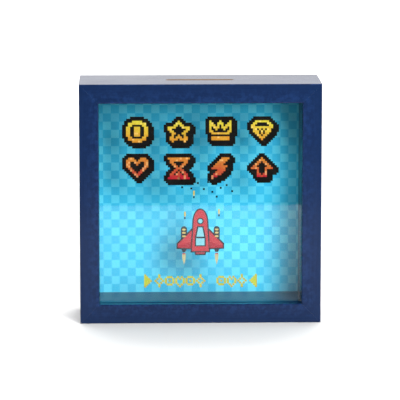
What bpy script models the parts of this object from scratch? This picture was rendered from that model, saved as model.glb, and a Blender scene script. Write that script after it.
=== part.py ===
"""Box-frame money bank: four mitred rails hold a glass front, and a lift-out back closes the chamber.

Coins drop through a slot in the top rail and pile up between the glass and a printed card.
The card is glued to the back panel. The panel lies in a rebate at the rear of the rails, where
four riveted turn-buttons lock it by reaching into a kerf that runs round the inside of the frame.

Axes: X to the right, Y from the front to the back, Z up. The origin is the middle of the base.
The turn-buttons are modelled turned open, so that the back is free to lift out.
"""

import bpy
import bmesh
from math import asin, atan2, cos, degrees, pi, radians, sin, sqrt
from mathutils import Matrix

# ---------------------------------------------------------------- driving sizes, in metres

FRAME_WIDTH = 0.150
FRAME_HEIGHT = 0.150
FRAME_DEPTH = 0.050
RAIL_THICKNESS = 0.012
EDGE_RADIUS = 0.0008

FIT_GAP = 0.0003                # between pieces that touch on the real object

SLOT_LENGTH = 0.042
SLOT_WIDTH = 0.0045

GLASS_THICKNESS = 0.002
GLASS_SETBACK = 0.005           # front of the frame to the front of the glass
GLASS_GRIP = 0.0037             # how far the pane reaches into each rail
GLASS_ARRIS = 0.0002

REBATE_WIDTH = 0.005            # ledge that the card and the back panel rest against
CARD_THICKNESS = 0.0004
PANEL_THICKNESS = 0.003
PANEL_RECESS = 0.0063           # rear of the frame to the rear face of the panel
PANEL_CLEARANCE = 0.0005        # all round the panel, in the rebate
PANEL_ARRIS = 0.0003

BUTTON_THICKNESS = 0.001
BUTTON_REACH = 0.017            # pivot to tip
BUTTON_PIVOT_RADIUS = 0.005
BUTTON_TIP_RADIUS = 0.0038
BUTTON_ENGAGEMENT = 0.003       # how far a closed button reaches into the kerf
KERF_BOTTOM_CLEARANCE = 0.001
KERF_SIDE_CLEARANCE = 0.0005

RIVET_SHANK_RADIUS = 0.0015
RIVET_HEAD_RADIUS = 0.003
RIVET_HEAD_HEIGHT = 0.0009
RIVET_FLANGE_RADIUS = 0.0026
RIVET_FLANGE_THICKNESS = 0.0005
RIVET_SEAT_DEPTH = 0.001        # counterbore in the front of the panel

HANGER_WIDTH = 0.040
HANGER_HEIGHT = 0.008
HANGER_THICKNESS = 0.0008
HANGER_BRIDGE_WIDTH = 0.018     # the toothed middle, which stands off the panel
HANGER_BRIDGE_RISE = 0.0015
HANGER_TEETH = 7
HANGER_TOOTH_HEIGHT = 0.0018
HANGER_RIVET_SPACING = 0.031
HANGER_CLEARANCE = 0.003        # below the tip of the top button when that points down

V_NAIL_WING = 0.005
V_NAIL_STEEL = 0.0006
V_NAIL_LENGTH = 0.007
V_NAIL_INSET = 0.0015           # outer face of the frame to the middle of the nail's steel
V_NAIL_SUNK = 0.0002            # below the rear face of the frame

# ---------------------------------------------------------------- places that follow from them

FRONT_Y = -FRAME_DEPTH / 2
REAR_Y = FRAME_DEPTH / 2

GLASS_FRONT_Y = FRONT_Y + GLASS_SETBACK
GLASS_REAR_Y = GLASS_FRONT_Y + GLASS_THICKNESS
PANEL_REAR_Y = REAR_Y - PANEL_RECESS
PANEL_FRONT_Y = PANEL_REAR_Y - PANEL_THICKNESS
CARD_FRONT_Y = PANEL_FRONT_Y - FIT_GAP - CARD_THICKNESS
LEDGE_Y = CARD_FRONT_Y - FIT_GAP
BUTTON_FRONT_Y = PANEL_REAR_Y + FIT_GAP
BUTTON_REAR_Y = BUTTON_FRONT_Y + BUTTON_THICKNESS
SLOT_Y = (GLASS_REAR_Y + CARD_FRONT_Y) / 2

REBATE_WALL = RAIL_THICKNESS - REBATE_WIDTH     # wood left round the panel
KERF_DEPTH = BUTTON_ENGAGEMENT + KERF_BOTTOM_CLEARANCE

PANEL_WIDTH = FRAME_WIDTH - 2 * (REBATE_WALL + PANEL_CLEARANCE)
PANEL_HEIGHT = FRAME_HEIGHT - 2 * (REBATE_WALL + PANEL_CLEARANCE)
MIDDLE_Z = FRAME_HEIGHT / 2

# A closed button reaches past the panel's edge, over the clearance and into the kerf.
PIVOT_FROM_EDGE = BUTTON_REACH - BUTTON_ENGAGEMENT - PANEL_CLEARANCE

RIVET_HOLE_RADIUS = RIVET_SHANK_RADIUS + FIT_GAP
RIVET_SEAT_RADIUS = RIVET_FLANGE_RADIUS + FIT_GAP

# ---------------------------------------------------------------- collections and materials


def clear_scene():
    for old in list(bpy.data.objects):
        bpy.data.objects.remove(old, do_unlink=True)


def new_collection(name):
    collection = bpy.data.collections.new(name)
    bpy.context.scene.collection.children.link(collection)
    return collection


def new_material(name, colour, roughness, metallic=0.0, alpha=1.0):
    material = bpy.data.materials.new(name)
    material.use_nodes = True
    shader = material.node_tree.nodes["Principled BSDF"]
    shader.inputs["Base Color"].default_value = (*colour, 1.0)
    shader.inputs["Roughness"].default_value = roughness
    shader.inputs["Metallic"].default_value = metallic
    shader.inputs["Alpha"].default_value = alpha
    return material


clear_scene()
MODEL = new_collection("box_frame_money_bank")
CUTTERS = new_collection("cutters")

BLUE_FOIL = new_material("blue_foil_mdf", (0.017, 0.036, 0.115), 0.4)
CLEAR_GLASS = new_material("clear_glass", (0.9, 0.97, 0.96), 0.02, alpha=0.25)
PRINTED_CARD = new_material("printed_card", (0.1, 0.6, 0.75), 0.55)
HARDBOARD = new_material("brown_hardboard", (0.22, 0.12, 0.06), 0.75)
ZINC_STEEL = new_material("zinc_plated_steel", (0.62, 0.63, 0.65), 0.32, metallic=1.0)

# ---------------------------------------------------------------- building blocks


def add_piece(name, mesh, material, matrix=Matrix(), parent=None):
    piece = bpy.data.objects.new(name, mesh)
    MODEL.objects.link(piece)
    if not mesh.materials:
        mesh.materials.append(material)
    piece.parent = parent
    piece.matrix_local = matrix
    return piece


def add_anchor(name, place, parent=None):
    """An empty that carries the pieces of one moving body; place is in the parent's own frame."""
    anchor = bpy.data.objects.new(name, None)
    anchor.empty_display_size = 0.01
    MODEL.objects.link(anchor)
    anchor.parent = parent
    anchor.location = place
    return anchor


def cut(piece, cutter_mesh, matrix, name):
    """Subtract a shape, placed in the piece's own frame."""
    cutter = bpy.data.objects.new(name, cutter_mesh)
    CUTTERS.objects.link(cutter)
    cutter.parent = piece
    cutter.matrix_local = matrix
    cutter.hide_render = True
    cutter.display_type = "WIRE"
    boolean = piece.modifiers.new(name, "BOOLEAN")
    boolean.operation = "DIFFERENCE"
    boolean.solver = "EXACT"
    boolean.object = cutter


def mesh_from_bmesh(shape, name):
    bmesh.ops.recalc_face_normals(shape, faces=shape.faces)
    mesh = bpy.data.meshes.new(name)
    shape.to_mesh(mesh)
    shape.free()
    return mesh


def box_mesh(name, size, arris=0.0):
    """A box about its own centre, with its edges taken off by arris."""
    shape = bmesh.new()
    bmesh.ops.create_cube(shape, size=1.0, matrix=Matrix.Diagonal((*size, 1.0)))
    if arris:
        bmesh.ops.bevel(shape, geom=shape.edges[:], offset=arris, segments=1, affect="EDGES",
                        profile=0.5, material=-1)
    return mesh_from_bmesh(shape, name)


def prism_mesh(name, outline, height):
    """An outline of (x, y) points extruded from z = 0 to z = height."""
    shape = bmesh.new()
    face = shape.faces.new([shape.verts.new((x, y, 0.0)) for x, y in outline])
    extruded = bmesh.ops.extrude_face_region(shape, geom=[face])
    raised = [item for item in extruded["geom"] if isinstance(item, bmesh.types.BMVert)]
    bmesh.ops.translate(shape, verts=raised, vec=(0.0, 0.0, height))
    return mesh_from_bmesh(shape, name)


def turned_mesh(name, profile, steps=24):
    """A profile of (radius, y) points, on the axis at both ends, turned about Y."""
    shape = bmesh.new()
    points = [shape.verts.new((radius, y, 0.0)) for radius, y in profile]
    edges = [shape.edges.new(pair) for pair in zip(points, points[1:])]
    bmesh.ops.spin(shape, geom=points + edges, cent=(0, 0, 0), axis=(0, 1, 0), angle=2 * pi,
                   steps=steps, use_merge=True)
    bmesh.ops.remove_doubles(shape, verts=shape.verts, dist=1e-6)
    mesh = mesh_from_bmesh(shape, name)
    mesh.shade_smooth()
    mesh.set_sharp_from_angle(angle=radians(35))
    return mesh


def arc(centre_x, centre_y, radius, start, end, steps):
    """Points on an arc; the angles are in degrees and both ends are included."""
    angles = [radians(start + (end - start) * step / steps) for step in range(steps + 1)]
    return [(centre_x + radius * cos(angle), centre_y + radius * sin(angle)) for angle in angles]


def slot_outline(length, width, steps=10):
    """A long hole with round ends, lying along x."""
    end = (length - width) / 2
    return arc(end, 0, width / 2, -90, 90, steps) + arc(-end, 0, width / 2, 90, 270, steps)


# Turns a prism that stands on the XY plane so that it lies in XZ and rises along +Y.
FACING_BACK = Matrix.Rotation(-pi / 2, 4, "X")

# ---------------------------------------------------------------- the four rails


def rail_profile():
    """The rail's section: x inward from the outer face, y back from the front face."""
    t, d, r = RAIL_THICKNESS, FRAME_DEPTH, EDGE_RADIUS
    groove_front = GLASS_SETBACK - FIT_GAP
    groove_rear = GLASS_SETBACK + GLASS_THICKNESS + FIT_GAP
    groove_floor = t - GLASS_GRIP - FIT_GAP
    ledge = LEDGE_Y - FRONT_Y
    kerf_front = BUTTON_FRONT_Y - FRONT_Y - KERF_SIDE_CLEARANCE
    kerf_rear = BUTTON_REAR_Y - FRONT_Y + KERF_SIDE_CLEARANCE
    kerf_floor = REBATE_WALL - KERF_DEPTH
    points = arc(r, r, r, 180, 270, 3)
    points += arc(t - r, r, r, 270, 360, 3)
    points += [(t, groove_front), (groove_floor, groove_front)]
    points += [(groove_floor, groove_rear), (t, groove_rear)]
    points += [(t, ledge), (REBATE_WALL, ledge)]
    points += [(REBATE_WALL, kerf_front), (kerf_floor, kerf_front)]
    points += [(kerf_floor, kerf_rear), (REBATE_WALL, kerf_rear)]
    points += [(REBATE_WALL, d)]
    points += arc(r, d - r, r, 90, 180, 3)
    return points


def rail_mesh(name, length):
    """A length of the section along X, mitred at both ends, with its outer face at z = 0."""
    setback = FIT_GAP / 2 * sqrt(2)         # of each mitre face, measured along the rail
    mesh = prism_mesh(name, rail_profile(), 1.0)
    for vertex in mesh.vertices:
        inward, back, end = vertex.co
        half = length / 2 - inward - setback
        vertex.co = (half if end > 0.5 else -half, FRONT_Y + back, -inward)
    return mesh


def v_nail_outline(clearance=0.0):
    """Two wings at a right angle; the corner of the V is at the origin, pointing to (-1, -1)."""
    half = V_NAIL_STEEL / 2 + clearance
    wing = V_NAIL_WING + clearance
    return [(-half, -half), (wing, -half), (wing, half), (half, half), (half, wing), (-half, wing)]


# Each corner of the frame: its name, and which way the inside lies from it in X and in Z.
CORNERS = {"top_left": (1, -1), "top_right": (-1, -1), "bottom_left": (1, 1), "bottom_right": (-1, 1)}


def v_nail_place(inside_x, inside_z, y):
    """Where a V nail's corner goes, and the turn that points its wings along the two rails."""
    x = -inside_x * (FRAME_WIDTH / 2 - V_NAIL_INSET)
    z = MIDDLE_Z - inside_z * (FRAME_HEIGHT / 2 - V_NAIL_INSET)
    turn = {(1, 1): 0, (-1, 1): 90, (-1, -1): 180, (1, -1): 270}[(inside_x, inside_z)]
    upright = Matrix.Rotation(radians(-turn), 4, "Y") @ Matrix.Rotation(pi / 2, 4, "X")
    return Matrix.Translation((x, y, z)) @ upright


def build_rails():
    places = {
        "top": (FRAME_WIDTH, Matrix.Translation((0, 0, FRAME_HEIGHT))),
        "bottom": (FRAME_WIDTH, Matrix.Rotation(pi, 4, "Y")),
        "left": (FRAME_HEIGHT, Matrix.Translation((-FRAME_WIDTH / 2, 0, MIDDLE_Z))
                 @ Matrix.Rotation(-pi / 2, 4, "Y")),
        "right": (FRAME_HEIGHT, Matrix.Translation((FRAME_WIDTH / 2, 0, MIDDLE_Z))
                  @ Matrix.Rotation(pi / 2, 4, "Y")),
    }
    rails = {}
    for side, (length, matrix) in places.items():
        mesh = rail_mesh(f"{side}_rail", length)
        rails[side] = add_piece(f"frame_{side}_rail", mesh, BLUE_FOIL, matrix)

    slot = prism_mesh("coin_slot_cutter", slot_outline(SLOT_LENGTH, SLOT_WIDTH), 3 * RAIL_THICKNESS)
    cut(rails["top"], slot, Matrix.Translation((0, SLOT_Y, -2 * RAIL_THICKNESS)), "coin_slot")

    nail_y = REAR_Y - V_NAIL_SUNK
    pocket_y = REAR_Y + V_NAIL_LENGTH
    for corner, (inside_x, inside_z) in CORNERS.items():
        nail = prism_mesh("v_nail", v_nail_outline(), V_NAIL_LENGTH)
        add_piece(f"v_nail_{corner}", nail, ZINC_STEEL, v_nail_place(inside_x, inside_z, nail_y))
        depth = 2 * V_NAIL_LENGTH + V_NAIL_SUNK + FIT_GAP
        pocket = prism_mesh("v_nail_pocket", v_nail_outline(FIT_GAP), depth)
        pocket_place = v_nail_place(inside_x, inside_z, pocket_y)
        for side in corner.split("_"):
            in_rail = places[side][1].inverted() @ pocket_place
            cut(rails[side], pocket, in_rail, f"pocket_{corner}")


# ---------------------------------------------------------------- glass front


def build_glass():
    inset = RAIL_THICKNESS - GLASS_GRIP
    size = (FRAME_WIDTH - 2 * inset, GLASS_THICKNESS, FRAME_HEIGHT - 2 * inset)
    place = Matrix.Translation((0, (GLASS_FRONT_Y + GLASS_REAR_Y) / 2, MIDDLE_Z))
    add_piece("glass_pane", box_mesh("glass_pane", size, GLASS_ARRIS), CLEAR_GLASS, place)


# ---------------------------------------------------------------- back, card and fasteners

# Each turn-button: the way it points when closed, and the way it points when open, in X and Z.
BUTTONS = {
    "top": ((0, 1), (1, 0)),
    "bottom": ((0, -1), (1, 0)),
    "left": ((-1, 0), (0, -1)),
    "right": ((1, 0), (0, -1)),
}


def button_pivot(closed):
    """Where a button turns: its x and its height above the middle of the panel."""
    reach_x = PANEL_WIDTH / 2 - PIVOT_FROM_EDGE
    reach_z = PANEL_HEIGHT / 2 - PIVOT_FROM_EDGE
    return closed[0] * reach_x, closed[1] * reach_z


def button_outline():
    """Pivot at the origin, tip along +x: two round ends joined by the lines that touch both."""
    distance = BUTTON_REACH - BUTTON_TIP_RADIUS
    touch = 90 - degrees(asin((BUTTON_PIVOT_RADIUS - BUTTON_TIP_RADIUS) / distance))
    tip = arc(distance, 0, BUTTON_TIP_RADIUS, -touch, touch, 12)
    return tip + arc(0, 0, BUTTON_PIVOT_RADIUS, touch, 360 - touch, 14)


def rivet_profile(rear_of_work):
    """A dome head behind the work and a flared end sunk in the front of the panel."""
    head_seat = rear_of_work + FIT_GAP
    flange_rear = PANEL_FRONT_Y + RIVET_SEAT_DEPTH - FIT_GAP
    flange_front = flange_rear - RIVET_FLANGE_THICKNESS
    head_edge = head_seat + RIVET_HEAD_HEIGHT * 0.35
    dome = [(RIVET_HEAD_RADIUS * cos(radians(angle)),
             head_edge + (RIVET_HEAD_HEIGHT * 0.65) * sin(radians(angle))) for angle in (0, 30, 60)]
    profile = [(0, flange_front), (RIVET_FLANGE_RADIUS, flange_front)]
    profile += [(RIVET_FLANGE_RADIUS, flange_rear), (RIVET_SHANK_RADIUS, flange_rear)]
    profile += [(RIVET_SHANK_RADIUS, head_seat), (RIVET_HEAD_RADIUS, head_seat)]
    profile += dome + [(0, head_seat + RIVET_HEAD_HEIGHT)]
    return profile


def rivet_hole_profile():
    """The hole through the panel with its counterbore, run past both faces."""
    seat = PANEL_FRONT_Y + RIVET_SEAT_DEPTH
    before, behind = PANEL_FRONT_Y - PANEL_THICKNESS, PANEL_REAR_Y + PANEL_THICKNESS
    profile = [(0, before), (RIVET_SEAT_RADIUS, before), (RIVET_SEAT_RADIUS, seat)]
    return profile + [(RIVET_HOLE_RADIUS, seat), (RIVET_HOLE_RADIUS, behind), (0, behind)]


def hole_mesh(name, radius, height):
    shape = bmesh.new()
    bmesh.ops.create_cone(shape, cap_ends=True, segments=24, radius1=radius, radius2=radius,
                          depth=height)
    return mesh_from_bmesh(shape, name)


def build_buttons(back, panel):
    outline = button_outline()
    rivet = turned_mesh("button_rivet", rivet_profile(BUTTON_REAR_Y))
    hole = turned_mesh("rivet_hole", rivet_hole_profile())
    for side, (closed, opened) in BUTTONS.items():
        x, z = button_pivot(closed)
        pivot = add_anchor(f"{side}_button_pivot", (x, 0, z), back)
        lie_flat = Matrix.Rotation(atan2(-opened[1], opened[0]), 4, "Y") @ FACING_BACK
        place = Matrix.Translation((0, BUTTON_FRONT_Y, 0)) @ lie_flat
        plate = prism_mesh(f"{side}_button", outline, BUTTON_THICKNESS)
        button = add_piece(f"turn_button_{side}", plate, ZINC_STEEL, place, pivot)
        cut(button, hole_mesh("button_hole", RIVET_HOLE_RADIUS, 4 * BUTTON_THICKNESS),
            Matrix(), "rivet_hole")
        add_piece(f"button_rivet_{side}", rivet, ZINC_STEEL, Matrix.Translation((x, 0, z)), back)
        cut(panel, hole, Matrix.Translation((x, 0, z)), f"hole_{side}")


def hanger_section():
    """The strip from above: its ends lie flat and its middle is a bridge that a nail head goes behind."""
    end, bridge, rise = HANGER_WIDTH / 2, HANGER_BRIDGE_WIDTH / 2, HANGER_BRIDGE_RISE
    foot = bridge + rise
    front = [(-end, 0), (-foot, 0), (-bridge, rise), (bridge, rise), (foot, 0), (end, 0)]
    return front + [(x, y + HANGER_THICKNESS) for x, y in reversed(front)]


def teeth_outline():
    """Saw teeth to cut from the bridge's lower edge: x along the strip, y up from that edge."""
    pitch = HANGER_BRIDGE_WIDTH / (HANGER_TEETH + 1)
    left = -HANGER_TEETH / 2 * pitch
    points = [(left, -HANGER_TOOTH_HEIGHT)]
    points += [(left + HANGER_TEETH * pitch, -HANGER_TOOTH_HEIGHT)]
    for tooth in reversed(range(HANGER_TEETH)):
        points += [(left + (tooth + 1) * pitch, 0.1 * HANGER_TOOTH_HEIGHT)]
        points += [(left + (tooth + 0.5) * pitch, HANGER_TOOTH_HEIGHT)]
    return points + [(left, 0.1 * HANGER_TOOTH_HEIGHT)]


def build_hanger(back, panel):
    top_pivot = button_pivot(BUTTONS["top"][0])[1]
    lower_edge = top_pivot - BUTTON_REACH - HANGER_CLEARANCE - HANGER_HEIGHT
    rivet_z = lower_edge + HANGER_HEIGHT / 2
    place = Matrix.Translation((0, PANEL_REAR_Y + FIT_GAP, lower_edge))
    strip = prism_mesh("hanger", hanger_section(), HANGER_HEIGHT)
    hanger = add_piece("sawtooth_hanger", strip, ZINC_STEEL, place, back)
    teeth = prism_mesh("hanger_teeth", teeth_outline(), 2 * (HANGER_BRIDGE_RISE + HANGER_THICKNESS))
    through = Matrix.Translation((0, 2 * (HANGER_BRIDGE_RISE + HANGER_THICKNESS), 0))
    cut(hanger, teeth, through @ Matrix.Rotation(pi / 2, 4, "X"), "teeth")

    rivet = turned_mesh("hanger_rivet", rivet_profile(PANEL_REAR_Y + FIT_GAP + HANGER_THICKNESS))
    hole = turned_mesh("hanger_rivet_hole", rivet_hole_profile())
    for side, sign in (("left", -1), ("right", 1)):
        x = sign * HANGER_RIVET_SPACING / 2
        at_hole = Matrix.Translation((x, 0, HANGER_HEIGHT / 2)) @ FACING_BACK
        cut(hanger, hole_mesh("hanger_hole", RIVET_HOLE_RADIUS, 4 * HANGER_THICKNESS), at_hole,
            f"rivet_hole_{side}")
        at = Matrix.Translation((x, 0, rivet_z))
        add_piece(f"hanger_rivet_{side}", rivet, ZINC_STEEL, at, back)
        cut(panel, hole, at, f"hanger_hole_{side}")


def build_back():
    """Everything that lifts out together hangs on one empty at the middle of the frame."""
    back = add_anchor("lift_out_back", (0, 0, MIDDLE_Z))
    card_size = (PANEL_WIDTH, CARD_THICKNESS, PANEL_HEIGHT)
    card_place = Matrix.Translation((0, CARD_FRONT_Y + CARD_THICKNESS / 2, 0))
    add_piece("printed_card", box_mesh("card", card_size), PRINTED_CARD, card_place, back)

    panel_size = (PANEL_WIDTH, PANEL_THICKNESS, PANEL_HEIGHT)
    panel_mesh = box_mesh("panel", panel_size, PANEL_ARRIS)
    panel_mesh.transform(Matrix.Translation((0, (PANEL_FRONT_Y + PANEL_REAR_Y) / 2, 0)))
    panel = add_piece("back_panel", panel_mesh, HARDBOARD, Matrix(), back)
    build_buttons(back, panel)
    build_hanger(back, panel)


build_rails()
build_glass()
build_back()
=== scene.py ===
"""Finishes the box-frame money bank: foil-wrapped rails, glass with its print, the card and the back.

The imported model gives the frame, and every piece here takes its place and size from it, in metres:
X to the right, Y from the front to the back, Z up.
"""

import random
from math import asin, atan2, cos, degrees, pi, radians, sin

import bmesh
import bpy
from bpy.props import FloatProperty, FloatVectorProperty, IntProperty, PointerProperty
from mathutils import Matrix, Vector


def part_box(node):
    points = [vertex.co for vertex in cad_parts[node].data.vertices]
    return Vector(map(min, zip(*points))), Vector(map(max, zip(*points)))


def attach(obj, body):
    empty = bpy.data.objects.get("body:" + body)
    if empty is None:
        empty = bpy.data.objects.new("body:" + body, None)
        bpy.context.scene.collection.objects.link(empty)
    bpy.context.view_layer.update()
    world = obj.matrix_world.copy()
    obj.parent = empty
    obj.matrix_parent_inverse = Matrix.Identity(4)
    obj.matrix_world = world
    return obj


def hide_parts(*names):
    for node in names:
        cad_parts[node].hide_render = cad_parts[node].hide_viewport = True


bl_info = {
    "name": "Box-frame money bank",
    "version": (1, 0, 0),
    "blender": (4, 5, 0),
    "location": "3D View > Sidebar > Money bank",
    "description": "Builds the finished pieces of a glass-fronted box-frame coin bank",
    "category": "Add Mesh",
}

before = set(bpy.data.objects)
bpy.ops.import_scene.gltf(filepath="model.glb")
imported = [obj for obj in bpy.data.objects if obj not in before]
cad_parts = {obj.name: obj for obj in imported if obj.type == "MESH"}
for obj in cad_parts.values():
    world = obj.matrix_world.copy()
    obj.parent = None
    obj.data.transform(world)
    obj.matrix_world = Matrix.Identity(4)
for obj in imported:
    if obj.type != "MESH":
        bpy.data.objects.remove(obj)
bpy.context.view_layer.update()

MM = 0.001

# ---------------------------------------------------------------- places read from the frame

TOP_LOW, TOP_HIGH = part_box("frame_top_rail")
BOTTOM_LOW, BOTTOM_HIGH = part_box("frame_bottom_rail")
LEFT_LOW, LEFT_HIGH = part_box("frame_left_rail")
RIGHT_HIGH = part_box("frame_right_rail")[1]
GLASS_LOW, GLASS_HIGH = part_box("glass_pane")
CARD_LOW, CARD_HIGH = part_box("printed_card")
PANEL_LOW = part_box("back_panel")[0]
BUTTON_LOW, BUTTON_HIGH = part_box("turn_button_top")
HANGER_LOW, HANGER_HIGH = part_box("sawtooth_hanger")

FRONT_Y, REAR_Y = TOP_LOW.y, TOP_HIGH.y
RAIL = TOP_HIGH.z - TOP_LOW.z
WIDTH = RIGHT_HIGH.x - LEFT_LOW.x
HEIGHT = TOP_HIGH.z - BOTTOM_LOW.z
MIDDLE_Z = (TOP_HIGH.z + BOTTOM_LOW.z) / 2
FLOOR_OF_CHAMBER = BOTTOM_HIGH.z
SLOT_Y = (GLASS_HIGH.y + CARD_LOW.y) / 2
FIT_GAP = PANEL_LOW.y - CARD_HIGH.y
LEDGE_Y = CARD_LOW.y - FIT_GAP

# ---------------------------------------------------------------- small fixed sizes

KERF_GAP = 0.5 * MM         # in front of and behind the tip of a locked button
KERF_DEPTH = 4.0 * MM
NAIL_STEEL = 0.6 * MM
NAIL_CLEARANCE = 0.08 * MM
BUTTON_TIP_RADIUS = 3.8 * MM
RIVET_HEAD_DEPTH = 0.9 * MM
CORNER_GAP = 0.01 * MM      # between two printed cells that meet at a corner
LAYER_GAP = 0.25            # between two layers of ink, as a share of a layer
ARRIS_STEPS = 6
MIRROR_HEAD_ON = 0.02       # what each face of the glass mirrors, seen square on
MIRROR_RISE = 5.0           # the power by which that grows at a slant

# Places of the lights from their targets, and their widths and heights.
KEY_PLACE, KEY_SIZES = Vector((0.32, -0.70, 0.25)), (0.33, 0.46)
OVERHEAD_PLACE, OVERHEAD_SIZES = Vector((0.38, -1.57, 1.3)), (1.3, 1.3)
WASH_TARGET = Vector((0.0, 2.0, 0.0))
WASH_PLACE, WASH_SIZES = Vector((0.0, 0.2, 2.2)), (3.0, 3.0)
CAMERA_AIM = Vector((-0.4 * MM, FRONT_Y, 77.9 * MM))

# ---------------------------------------------------------------- settings


def size(name, description, default):
    return FloatProperty(name=name, description=description, default=default, unit="LENGTH",
                         subtype="DISTANCE", min=0.0, precision=5)


def colour(name, description, default):
    return FloatVectorProperty(name=name, description=description, default=default,
                               subtype="COLOR", size=3, min=0.0, max=1.0)


class RailSettings(bpy.types.PropertyGroup):
    foil: colour("Foil", "Dark blue foil round the rails", (0.0042, 0.0130, 0.0460))
    foil_light: colour("Foil grain", "Paler streaks in the foil", (0.0054, 0.0158, 0.0535))
    board: colour("Board", "Raw fibreboard where it is sawn", (0.20, 0.118, 0.06))
    arris: size("Arris", "Radius of the long edges", 0.8 * MM)
    joint: size("Joint", "Width of the line at each mitre", 0.02 * MM)
    slot_length: size("Slot length", "Coin slot, end to end", 42.0 * MM)
    slot_width: size("Slot width", "Coin slot, front to back", 4.5 * MM)
    slot_ease: size("Slot easing", "Chamfer round the mouth of the slot", 0.25 * MM)


class PrintSettings(bpy.types.PropertyGroup):
    black: colour("Black ink", "Ground of the icons", (0.005, 0.0048, 0.0045))
    yellow: colour("Yellow ink", "Top of the upper icons", (0.46, 0.385, 0.035))
    amber: colour("Amber ink", "Foot of the upper icons", (0.42, 0.165, 0.018))
    orange: colour("Orange ink", "Top of the lower icons", (0.40, 0.145, 0.022))
    crimson: colour("Crimson ink", "Foot of the lower icons", (0.29, 0.009, 0.02))
    red: colour("Red ink", "Body of the rocket", (0.36, 0.030, 0.042))
    dark_red: colour("Dark red ink", "Shaded side of the rocket", (0.28, 0.016, 0.030))
    outline: colour("Outline ink", "Line round the rocket", (0.012, 0.02, 0.03))
    pale_blue: colour("Pale blue ink", "Windows of the rocket", (0.16, 0.41, 0.49))
    cream: colour("Cream ink", "Flames and booster bands", (0.42, 0.33, 0.12))
    lemon: colour("Lemon ink", "Row of small symbols", (0.34, 0.37, 0.03))
    cell: size("Cell", "One square of the icons", 1.24 * MM)
    ink: size("Ink", "Thickness of one layer of ink", 0.04 * MM)


class CardSettings(bpy.types.PropertyGroup):
    light: colour("Light check", "Paler squares of the card", (0.090, 0.54, 0.73))
    dark: colour("Dark check", "Deeper squares of the card", (0.027, 0.395, 0.64))
    stray: colour("Stray check", "Tone that single squares lean to", (0.030, 0.345, 0.61))
    edge: colour("Card edge", "Cut edge and back of the card", (0.72, 0.70, 0.66))
    check_width: size("Check width", "One square, left to right", 5.1 * MM)
    check_height: size("Check height", "One square, bottom to top", 5.22 * MM)
    check_offset: size("Check offset", "Edge of a square, to the right of the middle", 0.5763 * MM)


class BackSettings(bpy.types.PropertyGroup):
    hardboard: colour("Hardboard", "Smooth brown back panel", (0.115, 0.056, 0.026))
    zinc: colour("Zinc", "Turn-buttons", (0.62, 0.63, 0.66))
    nickel: colour("Nickel", "Rivets", (0.74, 0.72, 0.69))
    brass: colour("Brass", "Hanger", (0.72, 0.52, 0.22))
    steel: colour("Steel", "V nails", (0.36, 0.36, 0.38))
    rib_height: size("Rib height", "Pressed rib on each turn-button", 0.45 * MM)
    rib_width: size("Rib width", "Pressed rib on each turn-button", 2.6 * MM)
    edge: size("Sheared edge", "Rounding of the pressed metal", 0.15 * MM)
    sides: IntProperty(name="Sides", description="Flats round a turned piece", default=48,
                       min=12, max=128)


class StageSettings(bpy.types.PropertyGroup):
    floor: colour("Floor", "Pale floor under the bank", (0.62, 0.62, 0.62))
    table_front: size("Table front", "Floor in front of the bank", 0.43)
    eye_distance: size("Eye distance", "Camera to the front of the frame", 1.648)
    eye_height: size("Eye height", "Camera above the floor", 0.352)
    eye_side: size("Eye side", "Camera to the left of the middle", 0.0446)
    lens: FloatProperty(name="Lens", description="Focal length in millimetres", default=242.9)
    sky: FloatProperty(name="Sky", description="Strength of the white surround", default=1.1)
    backdrop: FloatProperty(name="Backdrop", description="Wall behind, as a share of the sky",
                            default=1.2)
    ceiling: FloatProperty(name="Ceiling", description="Light from above, as a share of the sky",
                           default=0.05)
    dim: FloatProperty(name="Dim end", description="Strength of the dark end of the studio",
                       default=0.05)
    key: FloatProperty(name="Key", description="Softbox at the right, in watts", default=6.6)
    overhead: FloatProperty(name="Overhead", description="Softbox above the front, in watts",
                            default=44.0)
    wash: FloatProperty(name="Wash", description="Softbox over the floor behind, in watts",
                        default=150.0)


# ---------------------------------------------------------------- shape helpers


def arc(centre_x, centre_y, radius, start, end, steps):
    """Points on an arc; the angles are in degrees and both ends are included."""
    angles = [radians(start + (end - start) * step / steps) for step in range(steps + 1)]
    return [(centre_x + radius * cos(angle), centre_y + radius * sin(angle)) for angle in angles]


def slot_outline(length, width, steps=16):
    """A long shape with round ends, lying along x."""
    end = (length - width) / 2
    return arc(end, 0, width / 2, -90, 90, steps) + arc(-end, 0, width / 2, 90, 270, steps)


def outline_face(shape, outline, z):
    return shape.faces.new([shape.verts.new((x, y, z)) for x, y in outline])


def thicken(shape, faces, offset):
    """Extrude faces by an offset; a loose sheet becomes a closed slab."""
    extruded = bmesh.ops.extrude_face_region(shape, geom=faces)
    moved = [item for item in extruded["geom"] if isinstance(item, bmesh.types.BMVert)]
    bmesh.ops.translate(shape, verts=moved, vec=offset)


def slab(outline, z, height):
    """A closed slab over an outline of (x, y) points."""
    shape = bmesh.new()
    thicken(shape, [outline_face(shape, outline, z)], (0.0, 0.0, height))
    return shape


def round_edges(shape, edges, radius, segments):
    bmesh.ops.bevel(shape, geom=edges, offset=radius, segments=segments, affect="EDGES",
                    profile=0.5, material=-1)


def outward(shape):
    bmesh.ops.recalc_face_normals(shape, faces=shape.faces)


def turned(profile, sides):
    """A profile of (radius, y) points, on the axis at both ends, spun about Y."""
    shape = bmesh.new()
    points = [shape.verts.new((radius, y, 0.0)) for radius, y in profile]
    edges = [shape.edges.new(pair) for pair in zip(points, points[1:])]
    bmesh.ops.spin(shape, geom=points + edges, cent=(0, 0, 0), axis=(0, 1, 0), angle=2 * pi,
                   steps=sides, use_merge=True)
    bmesh.ops.remove_doubles(shape, verts=shape.verts, dist=1e-6)
    outward(shape)
    return shape


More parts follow.
